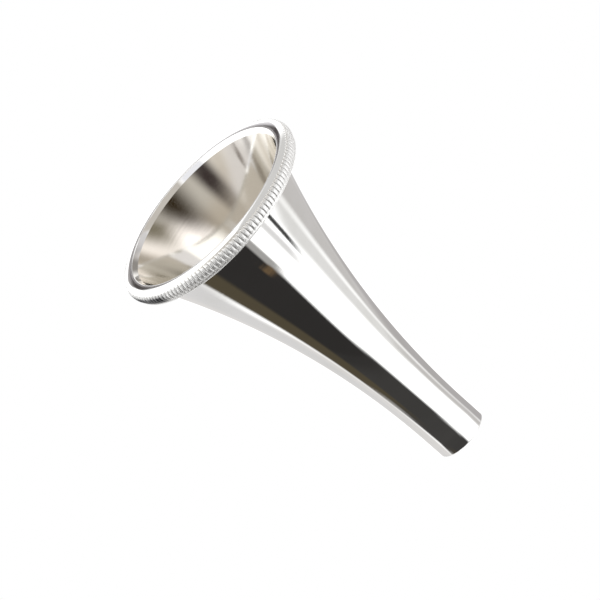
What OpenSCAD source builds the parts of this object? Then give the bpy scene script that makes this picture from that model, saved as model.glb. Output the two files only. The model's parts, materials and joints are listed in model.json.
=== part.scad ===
// Ear speculum: a trumpet-shaped metal funnel with a milled ring round its mouth.
// It stands mouth down. The origin is the centre of the ring's front face, and +Z runs to the tip.

/* [Overall] */
// Length from the ring's front face to the end of the tip
length = 38; // [32:0.5:44]

/* [Funnel] */
// Outer diameter of the tip
tip_d = 6; // [4:0.25:8]
// Length of the straight stretch at the tip
tip_straight = 2; // [1:0.25:4]
// Outer diameter that the flare reaches in the plane of the ring's front face
flare_d = 21.1; // [18:0.1:22]
// Thickness of the sheet metal
wall = 0.4; // [0.3:0.05:0.6]

/* [Ring] */
// Outer diameter of the ring, over the crown of the milled band
ring_d = 23.5; // [22.9:0.1:26]
// Height of the inner lip, which the mouth of the funnel sits on
lip_h = 0.5; // [0.4:0.05:0.9]
// Width of the bevel inside the lip, from the mouth of the funnel outwards
lip_w = 0.25; // [0.15:0.05:0.4]
// Radius of the rounding between the bevel and the land
lip_round = 0.1; // [0.05:0.01:0.15]
// Width of the flat land on the front face
land_w = 0.2; // [0.15:0.05:0.4]
// Height that the outer rounding of the front face rises before the band starts
front_rise = 0.2; // [0.15:0.05:0.4]
// Radius of the rounding behind the band
back_round = 0.45; // [0.2:0.05:0.5]

/* [Milled band] */
// Width of the band
band_w = 1.15; // [0.9:0.05:1.6]
// Height of the band's crown over its two edges
crown_h = 0.22; // [0.1:0.02:0.3]
// Number of teeth round the band
teeth = 136; // [100:1:145]
// Width of a groove at the crown
groove_w = 0.36; // [0.2:0.02:0.4]
// Depth of a groove at the edges of the band
groove_edge_depth = 0.1; // [0.05:0.01:0.14]
// Length that a groove runs on past each edge of the band
groove_run = 0.1; // [0.02:0.01:0.15]

/* [Solder] */
// Reach of the solder fillet along the ring and up the funnel
seam_leg = 0.55; // [0.3:0.05:0.8]
// Radius of the hollow in the fillet
seam_hollow = 0.7; // [0.6:0.05:1.2]
// Thickness of the solder where the fillet runs out
seam_edge = 0.04; // [0.02:0.01:0.08]

/* [Hidden] */
$fn = 240;

// The funnel's outside is one arc, which runs into the straight tip without a corner
tip_r = tip_d / 2;
flare_top = length - tip_straight;
flare_rise = flare_d / 2 - tip_r;
flare_arc = (flare_top ^ 2 + flare_rise ^ 2) / (2 * flare_rise);
flare_axis = tip_r + flare_arc;

// Radius of the funnel at a height, on its outside or at a depth of off below that
function funnel_r(z, off = 0) = flare_axis - sqrt((flare_arc + off) ^ 2 - (flare_top - z) ^ 2);

// Radii and heights of the ring, from the mouth outwards
mouth_r = funnel_r(lip_h, wall);
bevel = atan2(lip_w, lip_h);
land_in = mouth_r + lip_w + lip_round * tan((90 - bevel) / 2);
land_out = land_in + land_w;
crown_r = ring_d / 2;
edge_r = crown_r - crown_h;
band_top = front_rise + band_w;
ring_h = band_top + back_round;
front_arc = ((edge_r - land_out) ^ 2 + front_rise ^ 2) / (2 * front_rise);
crown_arc = ((band_w / 2) ^ 2 + crown_h ^ 2) / (2 * crown_h);

// The grooves are cut a little past the crown, so that their flanks reach clear of it
root_r = edge_r - groove_edge_depth;
overcut = 1.3;
blank_r = crown_r + 1;

// Half section of the space within the funnel's outside, or within a depth of off below that
module funnel_inside(off = 0) {
    difference() {
        square([crown_r, length]);
        translate([flare_axis, flare_top]) circle(r = flare_arc + off);
        translate([tip_r - off, flare_top]) square([crown_r, length]);
    }
}

// Half section of the sheet metal, with its tip edge rounded over
module funnel_section() {
    straight_end = length - wall / 2;
    intersection() {
        difference() {
            funnel_inside();
            funnel_inside(wall);
        }
        translate([0, lip_h]) square([crown_r, straight_end - lip_h]);
    }
    translate([tip_r - wall / 2, straight_end]) circle(r = wall / 2, $fn = 48);
}

module funnel_shell() {
    color("silver") rotate_extrude() funnel_section();
}

// What a rounding takes away from a corner: the wedge between two directions, less the rounding's circle
module corner(centre, r, from, to) {
    reach = 3 * r;
    difference() {
        polygon([centre, for (a = [from, (from + to) / 2, to]) centre + reach * [cos(a), sin(a)]]);
        translate(centre) circle(r = r);
    }
}

// Half section of the ring: a blank with a beveled bore, rounded corners and a rebate for the
// funnel, and the crown of the band
module ring_section() {
    back_in = funnel_r(ring_h);
    difference() {
        translate([back_in, 0]) square([edge_r - back_in, ring_h]);
        // The bore, which widens below the funnel's mouth along the bevel
        polygon([[0, lip_h], [mouth_r, lip_h], [mouth_r + 2 * lip_w, -lip_h], [0, -lip_h]]);
        corner([land_in, lip_round], lip_round, 180 + bevel, 270);
        corner([edge_r - back_round, band_top], back_round, 0, 90);
        difference() {
            translate([land_out, -front_rise]) square([crown_r - land_out, 2 * front_rise]);
            translate([land_out, front_arc]) circle(r = front_arc);
        }
        // The rebate has the shape of the funnel's own outside
        intersection() {
            funnel_inside();
            translate([0, lip_h]) square([crown_r, length]);
        }
    }
    intersection() {
        translate([crown_r - crown_arc, front_rise + band_w / 2]) circle(r = crown_arc);
        translate([edge_r - crown_h, front_rise]) square([2 * crown_h, band_w]);
    }
}

// Outline of the band with a groove between each two teeth
module toothed_outline() {
    out = overcut * (crown_r - root_r);
    half = overcut * groove_w / 2;
    polygon([
        for (i = [0 : teeth - 1], p = [[out, -half], [0, 0], [out, half]])
            let (a = i * 360 / teeth, x = root_r + p[0], y = p[1])
                [x * cos(a) - y * sin(a), x * sin(a) + y * cos(a)]
    ]);
}

module milled_ring() {
    color("gainsboro") difference() {
        rotate_extrude() ring_section();
        translate([0, 0, front_rise - groove_run]) linear_extrude(band_w + 2 * groove_run) difference() {
            circle(r = blank_r);
            toothed_outline();
        }
    }
}

// Half section of the solder: the corner behind the ring, hollowed by a circle between its two edges
module seam_section() {
    top = ring_h + seam_leg;
    foot = [funnel_r(ring_h) + seam_leg, ring_h + seam_edge];
    head = [funnel_r(top) + seam_edge, top];
    span = foot - head;
    reach = sqrt(seam_hollow ^ 2 - (norm(span) / 2) ^ 2);
    difference() {
        polygon([[funnel_r(ring_h), ring_h], [foot[0], ring_h], foot, head, [funnel_r(top), top]]);
        translate((foot + head) / 2 + reach * [-span[1], span[0]] / norm(span)) circle(r = seam_hollow);
    }
}

module solder_seam() {
    color("darkgray") rotate_extrude() seam_section();
}

funnel_shell();
milled_ring();
solder_seam();
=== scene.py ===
"""The looks of a polished metal ear speculum: its funnel, its milled ring and the solder between them."""
import json
import math

import bpy
from mathutils import Matrix, Vector

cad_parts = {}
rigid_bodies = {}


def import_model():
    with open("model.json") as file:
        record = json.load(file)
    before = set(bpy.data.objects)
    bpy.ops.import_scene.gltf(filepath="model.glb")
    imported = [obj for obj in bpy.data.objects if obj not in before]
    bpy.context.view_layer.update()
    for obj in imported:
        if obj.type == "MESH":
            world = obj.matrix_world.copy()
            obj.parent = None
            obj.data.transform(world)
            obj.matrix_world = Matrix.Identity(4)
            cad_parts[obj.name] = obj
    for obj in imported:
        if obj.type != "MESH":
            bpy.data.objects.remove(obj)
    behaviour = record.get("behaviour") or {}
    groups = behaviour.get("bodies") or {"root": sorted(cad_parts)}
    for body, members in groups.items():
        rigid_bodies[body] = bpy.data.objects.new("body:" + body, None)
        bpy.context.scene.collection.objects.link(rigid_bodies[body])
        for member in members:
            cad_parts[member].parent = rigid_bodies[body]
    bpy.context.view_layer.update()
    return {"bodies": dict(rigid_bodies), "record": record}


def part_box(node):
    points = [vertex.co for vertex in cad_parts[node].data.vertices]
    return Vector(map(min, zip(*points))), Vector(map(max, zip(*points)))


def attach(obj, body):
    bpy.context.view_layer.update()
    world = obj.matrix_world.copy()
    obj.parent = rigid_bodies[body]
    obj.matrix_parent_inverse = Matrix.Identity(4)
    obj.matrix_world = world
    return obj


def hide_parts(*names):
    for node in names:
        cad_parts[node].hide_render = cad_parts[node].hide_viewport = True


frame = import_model()

MM = 0.001
BODY = next(iter(frame["bodies"]))

# Sizes of the funnel, from the frame and from the tip's two mounts.
# Its outside is one arc, which runs into the straight tip without a corner.
mounts = {mount["name"]: mount for mount in frame["record"]["mounts"]}
mouth_low, mouth_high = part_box("funnel_shell")
TIP_END = mouth_high.z
TIP_R = mounts["tip_outside"]["dims"]["r_mm"] * MM
WALL = TIP_R - mounts["tip_bore"]["dims"]["r_mm"] * MM
TIP_ROUND = WALL / 2
TIP_STRAIGHT = 2 * MM
LIP_H = mouth_low.z
FLARE_TOP = TIP_END - TIP_STRAIGHT
FLARE_RISE = mouth_high.x - TIP_R
FLARE_ARC = ((FLARE_TOP - LIP_H) ** 2 + FLARE_RISE**2) / (2 * FLARE_RISE)
FLARE_AXIS = TIP_R + FLARE_ARC

# Sizes of the ring, from the frame and from its section
ring_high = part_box("milled_ring")[1]
CROWN_R = ring_high.x
RING_H = ring_high.z
LIP_W = 0.33 * MM
LIP_ROUND = 0.1 * MM
LAND_W = 0.12 * MM
FRONT_RISE = 0.2 * MM
BACK_ROUND = 0.45 * MM
CROWN_H = 0.22 * MM
BAND_TOP = RING_H - BACK_ROUND
EDGE_R = CROWN_R - CROWN_H

# The milling: teeth like small pillows, with grooves that get shallower towards the band's edges and run on
# past them. A higher crown power flattens a tooth's crown, and a lower flank power steepens its flanks.
TEETH = 136
TOOTH_DEPTH = 0.11 * MM
EDGE_DEPTH = 0.08 * MM
GROOVE_RUN = 0.1 * MM
CROWN_POWER = 2.6
FLANK_POWER = 0.55

# Sizes of the solder, from the frame and from its section
seam_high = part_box("solder_seam")[1]
SEAM_EDGE = 0.04 * MM
SEAM_HOLLOW = 0.7 * MM

# Steps round the pieces and along their sections, and the angle from which an edge is sharp
FUNNEL_STEPS = 320
FLARE_STEPS = 110
TIP_EDGE_STEPS = 14
TOOTH_STEPS = 10
ROUND_STEPS = 8
FRONT_STEPS = 22
BAND_STEPS = 22
REBATE_STEPS = 8
HOLLOW_STEPS = 12
UNDER_STEPS = 4
SHARP_FROM = math.radians(35)

# Painted shade on the back of the ring, a dark crescent that stands for a mirrored contact shadow: its middle, in
# degrees round the axis from +X, how many degrees from there it is still full and then gone, and the heights over
# which it comes in and fades again
SHADE_CRESCENT_AT = -14
SHADE_CRESCENT_REACH = (18, 24)
SHADE_CRESCENT_BEGINS = (0.35 * MM, 0.62 * MM)
SHADE_CRESCENT_FADES = (1.3 * MM, 1.57 * MM)

# The metal's noise, in features to the metre, the limits between which each kind takes hold, and the heights
# of its bumps
TONE_SCALE = 260
HAZE_SCALE = 900
MOTTLE_SCALE = 1500
LINE_SCALE = 2600
MARK_SCALE = 9000
WORN_BETWEEN = (0.42, 0.72)
HAZE_BETWEEN = (0.3, 0.7)
MOTTLE_BETWEEN = (0.3, 0.6)
MOTTLE_COVERS = (0.8, 1.0)
LINE_HEIGHT = 0.02 * MM
MARK_HEIGHT = 0.01 * MM

# Where the painted shade in the grooves begins and is full, as shares of a groove's depth
GROOVE_SHADE_BETWEEN = (0.2, 0.9)

# The floor: it fades out between two distances from the axis. Nearer than HOLE_R it is seen but not mirrored.
FLOOR_RADII = (0.02, 0.04, 0.07, 0.1, 0.12)
FLOOR_STEPS = 256
FADES_BETWEEN = (0.03, 0.1)
HOLE_R = CROWN_R + 0.25 * MM
FLOOR_COLOUR = 0.85
FLOOR_ROUGH = 0.8

# The studio: the white that the metal mirrors, the greys that the camera sees above and below the horizon, and
# over how many degrees to each side of the horizon what is above runs into what is below
TENT_WHITE = 1.5
BACKDROP = 1.0
BACKDROP_BELOW = 0.8
HORIZON_SOFT = 2

# The photograph's camera, in its frame of 600 by 600 pixels. It looks up into the mouth from below, rolled over.
PHOTO_PX = 600
PX_PER_M = 9774
TARGET_PX = (333.45, 321.0)
TARGET = Vector((0, 0, 19 * MM))
VIEW_ELEVATION = math.radians(-21.93)
VIEW_ROLL = math.radians(131.5)
LENS_MM = 800
SENSOR_MM = 36
SEES_TO = 10


# Shapes


def funnel_r(z, off=0.0):
    """Radius of the funnel at a height, on its outside or at a depth of off below that."""
    if z >= FLARE_TOP:
        return TIP_R - off
    return FLARE_AXIS - math.sqrt((FLARE_ARC + off) ** 2 - (FLARE_TOP - z) ** 2)


def spread(start, end, steps):
    """Evenly spaced values from start to end, both included."""
    return [start + (end - start) * i / steps for i in range(steps + 1)]


def arc(centre, radius, start, end, steps):
    """Points of a section along an arc, with its angles in degrees."""
    angles = [math.radians(a) for a in spread(start, end, steps)]
    return [(centre[0] + radius * math.cos(a), centre[1] + radius * math.sin(a)) for a in angles]


def along_funnel(start, end, steps, off=0.0):
    """Points of a section along the funnel, from one height to another."""
    return [(funnel_r(z, off), z) for z in spread(start, end, steps)]


def add_object(name, data):
    """A new object of the scene, for a mesh or a camera."""
    made = bpy.data.objects.new(name, data)
    bpy.context.scene.collection.objects.link(made)
    return made


def lathe(name, section, steps, lift=None):
    """A closed section turned round the axis. lift says how far a point is moved outwards at a step."""
    rows = len(section)
    points = []
    for i in range(steps):
        turn = 2 * math.pi * i / steps
        for r, z in section:
            out = r + (lift(r, z, i) if lift else 0)
            points.append((out * math.cos(turn), out * math.sin(turn), z))
    faces = []
    for i in range(steps):
        here, there = i * rows, (i + 1) % steps * rows
        for j in range(rows):
            k = (j + 1) % rows
            faces.append((here + j, there + j, there + k, here + k))
    mesh = bpy.data.meshes.new(name)
    mesh.from_pydata(points, [], faces)
    mesh.validate()
    mesh.shade_smooth()
    mesh.set_sharp_from_angle(angle=SHARP_FROM)
    return add_object(name, mesh)


def plate(piece, section, metal, other, other_rows):
    """Gives a lathed piece one metal, and another one on some rows of its section."""
    piece.data.materials.append(metal)
    piece.data.materials.append(other)
    for face in piece.data.polygons:
        if face.index % len(section) in other_rows:
            face.material_index = 1


# Shader nodes


def node(tree, kind, *values, **named):
    """A shader node. The values go to its inputs in turn, and the named ones to its properties or to its inputs
    of that name. An input takes a plain value or another node's output."""
    made = tree.nodes.new(kind)
    inputs = dict(enumerate(values))
    for name, value in named.items():
        if hasattr(made, name):
            setattr(made, name, value)
        else:
            inputs[name.replace("_", " ")] = value
    for place, value in inputs.items():
        if isinstance(value, bpy.types.NodeSocket):
            tree.links.new(value, made.inputs[place])
        else:
            made.inputs[place].default_value = value
    return made


def calc(tree, operation, *values):
    """The result of a Math node."""
    return node(tree, "ShaderNodeMath", *values, operation=operation).outputs[0]


def vector_calc(tree, operation, output, *values):
    """The named output of a Vector Math node."""
    return node(tree, "ShaderNodeVectorMath", *values, operation=operation).outputs[output]


def noise(tree, scale, detail, **named):
    """Noise from 0 to 1."""
    return node(tree, "ShaderNodeTexNoise", Scale=scale, Detail=detail, **named).outputs["Fac"]


def bump(tree, strength, distance, **named):
    """A normal moved by a height."""
    return node(tree, "ShaderNodeBump", Strength=strength, Distance=distance, **named).outputs["Normal"]


def ranged(tree, value, low, high, start=0.0, end=1.0, kind="LINEAR"):
    """Goes from start to end while the value goes from low to high, and no further."""
    limits = {"From_Min": low, "From_Max": high, "To_Min": start, "To_Max": end}
    made = node(tree, "ShaderNodeMapRange", interpolation_type=kind, Value=value, **limits)
    return made.outputs["Result"]


def mixed(tree, factor, low, high):
    """Goes from one colour to another with the factor."""
    return node(tree, "ShaderNodeMix", data_type="RGBA", Factor=factor, A=low, B=high).outputs["Result"]


def solid(colour):
    """A colour as a shader takes it."""
    return (*colour, 1.0)


def grey(value):
    """A grey as a shader takes it."""
    return (value, value, value, 1.0)


# Materials


def new_material(name):
    """A new material, its nodes and its shader."""
    material = bpy.data.materials.new(name)
    material.use_nodes = True
    return material, material.node_tree, material.node_tree.nodes["Principled BSDF"]


def plating(name, colour, worn, rough, spun, marked):
    """Plated metal: two tones, a roughness that varies, lines left by spinning and fine polishing marks.

    rough is the least and the most roughness, and spun and marked are the strengths of the lines and the marks."""
    material, tree, shader = new_material(name)
    shader.inputs["Metallic"].default_value = 1.0
    place = node(tree, "ShaderNodeTexCoord").outputs["Object"]

    tone = noise(tree, TONE_SCALE, 3, Vector=place, Roughness=0.6)
    two_tones = mixed(tree, ranged(tree, tone, *WORN_BETWEEN), solid(colour), solid(worn))
    tree.links.new(two_tones, shader.inputs["Base Color"])

    haze = noise(tree, HAZE_SCALE, 4, Vector=place)
    tree.links.new(ranged(tree, haze, *HAZE_BETWEEN, *rough), shader.inputs["Roughness"])

    # The lines run round the piece, so they depend on the height alone
    height = node(tree, "ShaderNodeSeparateXYZ", place).outputs["Z"]
    lines = noise(tree, LINE_SCALE, 2, noise_dimensions="1D", W=height)
    lined = bump(tree, spun, LINE_HEIGHT, Height=lines)
    marks = noise(tree, MARK_SCALE, 2, Vector=place)
    tree.links.new(bump(tree, marked, MARK_HEIGHT, Height=marks, Normal=lined), shader.inputs["Normal"])
    return material


def lay_over(material, colour, cover):
    """Lays a colour over the material's own, as far as cover says."""
    tree = material.node_tree
    base_colour = tree.nodes["Principled BSDF"].inputs["Base Color"]
    own = base_colour.links[0].from_socket
    tree.links.new(mixed(tree, cover, own, solid(colour)), base_colour)


def shade_grooves(material, colour):
    """Paints shade into the milling's grooves, darker where a point lies deeper. The ring's mesh says how deep
    each of its points lies in one.
    """
    tree = material.node_tree
    depth = node(tree, "ShaderNodeAttribute", attribute_name="groove").outputs["Fac"]
    lay_over(material, colour, ranged(tree, depth, *GROOVE_SHADE_BETWEEN))


def shade_crescent(material, colour):
    """Painted shade: darkens the plating over the stretch that SHADE_CRESCENT_AT and the sizes after it give, a
    little mottled, standing for a mirrored contact shadow.
    """
    tree = material.node_tree
    place = node(tree, "ShaderNodeTexCoord").outputs["Object"]
    height = node(tree, "ShaderNodeSeparateXYZ", place).outputs["Z"]
    begins = ranged(tree, height, *SHADE_CRESCENT_BEGINS)
    fades = ranged(tree, height, *SHADE_CRESCENT_FADES, 1.0, 0.0)

    level = vector_calc(tree, "MULTIPLY", "Vector", place, (1, 1, 0))
    outwards = vector_calc(tree, "NORMALIZE", "Vector", level)
    middle = (math.cos(math.radians(SHADE_CRESCENT_AT)), math.sin(math.radians(SHADE_CRESCENT_AT)), 0)
    full, gone = [math.cos(math.radians(angle)) for angle in SHADE_CRESCENT_REACH]
    near = ranged(tree, vector_calc(tree, "DOT_PRODUCT", "Value", outwards, middle), gone, full)

    mottle = ranged(tree, noise(tree, MOTTLE_SCALE, 3, Vector=place), *MOTTLE_BETWEEN, *MOTTLE_COVERS)
    reached = calc(tree, "MULTIPLY", near, calc(tree, "MULTIPLY", begins, fades))
    lay_over(material, colour, calc(tree, "MULTIPLY", reached, mottle))


def pale_floor():
    """A pale matt material that fades out with the distance from the axis and isn't seen from below."""
    material, tree, shader = new_material("pale_floor")
    shader.inputs["Base Color"].default_value = grey(FLOOR_COLOUR)
    shader.inputs["Roughness"].default_value = FLOOR_ROUGH
    place = node(tree, "ShaderNodeTexCoord").outputs["Object"]
    away = vector_calc(tree, "LENGTH", "Value", place)
    far = ranged(tree, away, *FADES_BETWEEN, kind="SMOOTHSTEP")
    below = node(tree, "ShaderNodeNewGeometry").outputs["Backfacing"]
    clear = node(tree, "ShaderNodeBsdfTransparent").outputs[0]
    gone = calc(tree, "MAXIMUM", below, far)
    floor_shader = node(tree, "ShaderNodeMixShader", gone, shader.outputs[0], clear)
    tree.links.new(floor_shader.outputs[0], tree.nodes["Material Output"].inputs["Surface"])
    return material


outside = plating(
    "plated_outside", (0.9, 0.9, 0.89), (0.86, 0.86, 0.84), rough=(0.03, 0.06), spun=0.05, marked=0.03
)
# The inside's warm tint is a painted reflection of the warm surroundings below that it mirrors
inside = plating(
    "satin_inside", (0.9, 0.88, 0.84), (0.88, 0.86, 0.82), rough=(0.08, 0.1), spun=0.03, marked=0.03
)
ring_metal = plating(
    "plated_ring", (0.9, 0.9, 0.89), (0.87, 0.87, 0.86), rough=(0.04, 0.08), spun=0.0, marked=0.03
)
milled_metal = plating(
    "plated_milling", (0.96, 0.96, 0.95), (0.92, 0.92, 0.91), rough=(0.46, 0.52), spun=0.0, marked=0.1
)
solder_metal = plating(
    "plated_solder", (0.72, 0.72, 0.7), (0.6, 0.6, 0.58), rough=(0.22, 0.4), spun=0.3, marked=0.6
)
# Painted shade in the grooves of the milling, darker the deeper they go
shade_grooves(milled_metal, (0.52, 0.51, 0.5))
# Painted shade: a dark crescent on the back of the ring, standing for a mirrored contact shadow
shade_crescent(milled_metal, (0.04, 0.04, 0.045))

# The funnel: its outside from the mouth up, round the tip's edge, and its inside down again
outer = along_funnel(LIP_H, FLARE_TOP, FLARE_STEPS)
edge = arc((TIP_R - TIP_ROUND, TIP_END - TIP_ROUND), TIP_ROUND, 0, 180, TIP_EDGE_STEPS)
inner = along_funnel(FLARE_TOP, LIP_H, FLARE_STEPS, WALL)
section = outer + edge + inner
funnel = lathe("funnel", section, FUNNEL_STEPS)
plate(funnel, section, outside, inside, range(len(outer + edge) - 1, len(section)))
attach(funnel, BODY)
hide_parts("funnel_shell")

# The ring: a beveled bore, a rounded lip, a land, a rounded front, a crowned band, a rounded back, a rebate
mouth_r = funnel_r(LIP_H, WALL)
bevel = math.degrees(math.atan2(LIP_W, LIP_H))
land_in = mouth_r + LIP_W + LIP_ROUND * math.tan(math.radians(90 - bevel) / 2)
land_out = land_in + LAND_W
front_arc = ((EDGE_R - land_out) ** 2 + FRONT_RISE**2) / (2 * FRONT_RISE)
front_turn = math.degrees(math.asin((EDGE_R - land_out) / front_arc))
crown_arc = ((BAND_TOP - FRONT_RISE) ** 2 / 4 + CROWN_H**2) / (2 * CROWN_H)
band_mid = (BAND_TOP + FRONT_RISE) / 2
band_half = (BAND_TOP - FRONT_RISE) / 2


def crown_r(z):
    """Radius of the band's crown at a height."""
    return CROWN_R - crown_arc + math.sqrt(crown_arc**2 - (z - band_mid) ** 2)


def tooth(r, z, step):
    """How far the milling moves a point of the section at a step round the ring: inwards, so 0 or less."""
    across = abs(z - band_mid) / band_half
    if across > 1 + GROOVE_RUN / band_half or r < EDGE_R - 2 * GROOVE_RUN:
        return 0
    depth = TOOTH_DEPTH + (EDGE_DEPTH - TOOTH_DEPTH) * min(across, 1) ** 2
    fade = min(1.0, (1 - across) * band_half / GROOVE_RUN + 1)
    along = abs(2 * (step % TOOTH_STEPS) / TOOTH_STEPS - 1)
    return -depth * fade * (1 - (1 - along**CROWN_POWER) ** FLANK_POWER)


lip = [(mouth_r, LIP_H)] + arc((land_in, LIP_ROUND), LIP_ROUND, 180 + bevel, 270, ROUND_STEPS)
front = arc((land_out, front_arc), front_arc, -90, -90 + front_turn, FRONT_STEPS)
band = [(crown_r(z), z) for z in spread(FRONT_RISE, BAND_TOP, BAND_STEPS)][1:]
back = arc((EDGE_R - BACK_ROUND, BAND_TOP), BACK_ROUND, 0, 90, ROUND_STEPS)[1:]
rebate = along_funnel(RING_H, LIP_H, REBATE_STEPS)
section = lip + front + band + back + rebate
ring_steps = TEETH * TOOTH_STEPS
ring = lathe("ring", section, ring_steps, tooth)
milled_from = len(lip + front) - 1
plate(ring, section, ring_metal, milled_metal, range(milled_from, milled_from + len(band + back)))
groove = ring.data.attributes.new("groove", "FLOAT", "POINT")
depths = [-tooth(r, z, i) / TOOTH_DEPTH for i in range(ring_steps) for r, z in section]
groove.data.foreach_set("value", depths)
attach(ring, BODY)
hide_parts("milled_ring")

# The solder: a fillet behind the ring, hollowed by a circle through its foot and its head
foot = Vector((seam_high.x, RING_H + SEAM_EDGE))
head = Vector((funnel_r(seam_high.z) + SEAM_EDGE, seam_high.z))
span = foot - head
reach = math.sqrt(SEAM_HOLLOW**2 - (span.length / 2) ** 2)
middle = (foot + head) / 2 + reach * Vector((-span.y, span.x)) / span.length
turns = [math.degrees(math.atan2(end.y - middle.y, end.x - middle.x)) % 360 for end in (foot, head)]
hollow = arc(middle, SEAM_HOLLOW, *turns, HOLLOW_STEPS)
under = along_funnel(seam_high.z, RING_H, UNDER_STEPS)
seam = lathe("solder", [(foot.x, RING_H)] + hollow + under, FUNNEL_STEPS)
seam.data.materials.append(solder_metal)
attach(seam, BODY)
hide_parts("solder_seam")


def make_floor(name, radii, material, mirrored):
    """A flat ring of floor with edges at the radii. If the metal doesn't mirror it, it casts no shadow."""
    points = []
    for r in radii:
        angles = (2 * math.pi * i / FLOOR_STEPS for i in range(FLOOR_STEPS))
        points += [(r * math.cos(a), r * math.sin(a), 0) for a in angles]
    faces = []
    for low in range(0, (len(radii) - 1) * FLOOR_STEPS, FLOOR_STEPS):
        high = low + FLOOR_STEPS
        for i in range(FLOOR_STEPS):
            j = (i + 1) % FLOOR_STEPS
            faces.append((low + i, high + i, high + j, low + j))
    mesh = bpy.data.meshes.new(name)
    mesh.from_pydata(points, [], faces)
    mesh.materials.append(material)
    floor = add_object(name, mesh)
    floor.visible_glossy = mirrored
    floor.visible_shadow = mirrored


# The floor. It is open under the mouth, so the light of the studio gets in from below.
floor_look = pale_floor()
make_floor("floor", (HOLE_R, *FLOOR_RADII), floor_look, mirrored=True)
make_floor("floor_near", (land_out, HOLE_R), floor_look, mirrored=False)

# The studio, painted on the world: a white tent with dark and grey cards, which the metal mirrors.
# A direction has an azimuth, 0 where the camera is and growing towards +X, and an elevation, both in degrees.
world = bpy.data.worlds.new("studio")
bpy.context.scene.world = world
world.use_nodes = True
sky = world.node_tree
towards = node(sky, "ShaderNodeSeparateXYZ", node(sky, "ShaderNodeTexCoord").outputs["Generated"])
to_camera = calc(sky, "MULTIPLY", towards.outputs["Y"], -1)
azimuth = calc(sky, "DEGREES", calc(sky, "ARCTAN2", towards.outputs["X"], to_camera))
elevation = calc(sky, "DEGREES", calc(sky, "ARCSINE", towards.outputs["Z"]))


def within(value, limits, soft, turns=False):
    """1 between two limits and 0 outside, changing over a width of soft. turns is for an azimuth."""
    middle, half = sum(limits) / 2, (limits[1] - limits[0]) / 2
    away = calc(sky, "SUBTRACT", value, middle)
    if turns:
        away = calc(sky, "WRAP", away, 180, -180)
    return ranged(sky, calc(sky, "ABSOLUTE", away), half - soft / 2, half + soft / 2, 1.0, 0.0, "SMOOTHSTEP")


def hang(cards):
    """The white tent with the cards laid over it, each over the ones before it.

    A card is its colour, the azimuths and the elevations that it lies between, the width of its soft edges in
    both, and its lean, which is how many degrees of azimuth it shifts by for each degree of elevation."""
    seen = grey(TENT_WHITE)
    for colour, azimuths, elevations, (az_soft, el_soft), lean in cards:
        upright = azimuth
        if lean:
            up = calc(sky, "SUBTRACT", elevation, sum(elevations) / 2)
            upright = calc(sky, "MULTIPLY_ADD", up, -lean, azimuth)
        az_part = within(upright, azimuths, az_soft, turns=True)
        el_part = within(elevation, elevations, el_soft)
        seen = mixed(sky, calc(sky, "MULTIPLY", az_part, el_part), seen, solid(colour))
    return seen


# What stands above the table, seen in the outside of the funnel and of the ring
ABOVE = [
    # The greys on the side away from the dark streak
    ((0.47, 0.45, 0.45), (-155, -101), (4, 35), (16, 8), -0.2),
    ((0.6, 0.58, 0.57), (-148, -104), (32, 66), (16, 6), 0.2),
    ((0.6, 0.58, 0.57), (-101, -77), (14, 36), (16, 6), 0.4),
    ((0.8, 0.79, 0.78), (-101, -71), (33, 56), (16, 8), 0.0),
    # The dark streak from the tip to the ring, with a grey corner, an amber spot and a brown edge
    ((0.065, 0.062, 0.06), (-6, 80), (2, 29), (10, 8), 1.5),
    ((0.05, 0.048, 0.046), (3, 88), (23, 42), (12, 8), 0.3),
    ((0.03, 0.028, 0.027), (0, 88), (37, 75), (10, 6), -0.7),
    ((0.4, 0.39, 0.38), (-11, 3), (58, 75), (6, 4), 0.0),
    ((0.15, 0.1, 0.055), (1, 19), (58.7, 60.4), (6, 1.5), 0.0),
    ((0.085, 0.07, 0.045), (75, 105), (28, 61), (10, 8), 0.3),
    # The pale greys past the brown edge
    ((0.84, 0.83, 0.82), (106, 172), (44, 70), (12, 8), 0.0),
    ((0.77, 0.75, 0.74), (100, 168), (18, 40), (16, 8), 0.7),
    ((0.72, 0.71, 0.71), (117, 145), (24, 49), (12, 6), -0.7),
    # The thin dark line by the ring, and the grey beside it
    ((0.06, 0.06, 0.06), (-71, -63), (53, 66), (4, 5), -0.4),
    ((0.78, 0.77, 0.77), (-55, -43), (54, 66), (8, 5), 0.0),
    # Straight above
    ((0.35, 0.34, 0.33), (-200, 200), (72, 110), (6, 8), 0.0),
]

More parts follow.
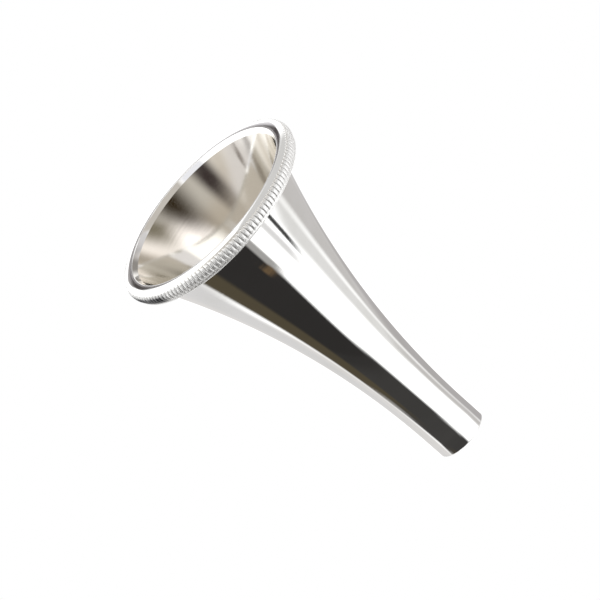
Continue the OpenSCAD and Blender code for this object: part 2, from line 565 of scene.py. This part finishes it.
# What lies below, seen in the inside of the funnel and in the front face of the ring
BELOW = [
    # The warm greys of the inside
    ((0.57, 0.55, 0.53), (-19, 23), (-44.4, 2.0), (34, 2), 0.1),
    ((0.49, 0.43, 0.35), (-133, 63), (-25.7, 8.2), (60, 24), -1.7),
    ((0.73, 0.70, 0.68), (64, 107), (-17.5, 2.4), (16, 3), 2.7),
    ((0.55, 0.51, 0.46), (-207, -69), (-66.1, -48.4), (60, 5), 0.9),
    ((0.92, 0.92, 0.96), (6, 45), (-56, -40), (10, 4), 0.0),
    ((0.6, 0.56, 0.51), (-100, 4), (-56, -34), (12, 4), 0.0),
    ((0.7, 0.68, 0.68), (-112, -76), (-36, -20), (10, 4), 0.0),
    # Its white glow, and the dark and brown streaks
    ((2.0, 1.9, 1.85), (-155, -13), (-20.8, -10.8), (26, 9), 2.3),
    ((0.17, 0.15, 0.10), (-69, -34), (-32.6, -13), (25, 11), -3.4),
    ((0.55, 0.52, 0.47), (-61, 47), (-39.6, -20.6), (34, 2), -0.8),
    ((0.02, 0.01, 0.00), (-40, -5), (-30.5, -18.0), (33, 11), -0.9),
    ((0.03, 0.02, 0.02), (20, 43), (-26.6, -17.5), (16, 8), 0.6),
    # Straight below, and beside that
    ((0.5, 0.47, 0.42), (-200, 200), (-110, -70), (6, 6), 0.0),
    ((0.55, 0.52, 0.46), (-62, 8), (-76, -58), (12, 4), 0.0),
    # Small ones for the ends of the mouth
    ((0.3, 0.28, 0.26), (-156, -106), (-34, -6), (34, 8), 0.0),
    ((0.1, 0.07, 0.05), (79, 86), (-13.8, -12.2), (4, 2), 0.0),
    ((0.5, 0.48, 0.47), (88, 108), (-9.5, -5.5), (8, 2), 0.0),
    ((0.3, 0.27, 0.23), (2, 26), (-39, -33), (10, 3), 0.0),
    # What the front of the ring mirrors, straight behind the speculum
    ((0.68, 0.67, 0.66), (181, 206), (-62, -25), (2, 6), 0.0),
    ((0.3, 0.28, 0.28), (178, 182), (-23, -20.5), (1, 1), 0.0),
    ((0.4, 0.38, 0.38), (172, 180), (-20.5, -15), (1, 2), 0.0),
    ((0.75, 0.73, 0.75), (180, 188), (-20.5, -15), (1, 2), 0.0),
    ((0.08, 0.07, 0.07), (181.2, 187), (-25, -19.5), (2, 3), 0.0),
    ((0.08, 0.07, 0.07), (173, 178.8), (-25, -19.5), (2, 3), 0.0),
]

# The metal mirrors the tent and its cards, and the camera sees a plain backdrop
horizon = ranged(sky, elevation, -HORIZON_SOFT, HORIZON_SOFT, kind="SMOOTHSTEP")
lit = node(sky, "ShaderNodeBackground", Color=mixed(sky, horizon, hang(BELOW), hang(ABOVE)))
backdrop = node(sky, "ShaderNodeBackground", Color=mixed(sky, horizon, grey(BACKDROP_BELOW), grey(BACKDROP)))
by_camera = node(sky, "ShaderNodeLightPath").outputs["Is Camera Ray"]
chosen = node(sky, "ShaderNodeMixShader", by_camera, lit.outputs[0], backdrop.outputs[0])
sky.links.new(chosen.outputs[0], sky.nodes["World Output"].inputs["Surface"])

# The camera
forward = Vector((0, math.cos(VIEW_ELEVATION), -math.sin(VIEW_ELEVATION)))
level_right = Vector((1, 0, 0))
level_up = level_right.cross(forward)
right = level_right * math.cos(VIEW_ROLL) + level_up * math.sin(VIEW_ROLL)
up = level_up * math.cos(VIEW_ROLL) - level_right * math.sin(VIEW_ROLL)
off_right = (TARGET_PX[0] - PHOTO_PX / 2) / PX_PER_M
off_down = (TARGET_PX[1] - PHOTO_PX / 2) / PX_PER_M
aimed_at = TARGET - right * off_right + up * off_down
distance = PHOTO_PX / PX_PER_M * LENS_MM / SENSOR_MM
camera_data = bpy.data.cameras.new("camera")
camera_data.lens = LENS_MM
camera_data.sensor_width = SENSOR_MM
camera_data.clip_end = SEES_TO
camera = add_object("camera", camera_data)
facing = Matrix((right, up, -forward)).transposed()
camera.matrix_world = Matrix.Translation(aimed_at - forward * distance) @ facing.to_4x4()
bpy.context.scene.camera = camera
bpy.context.scene.view_settings.view_transform = "Standard"
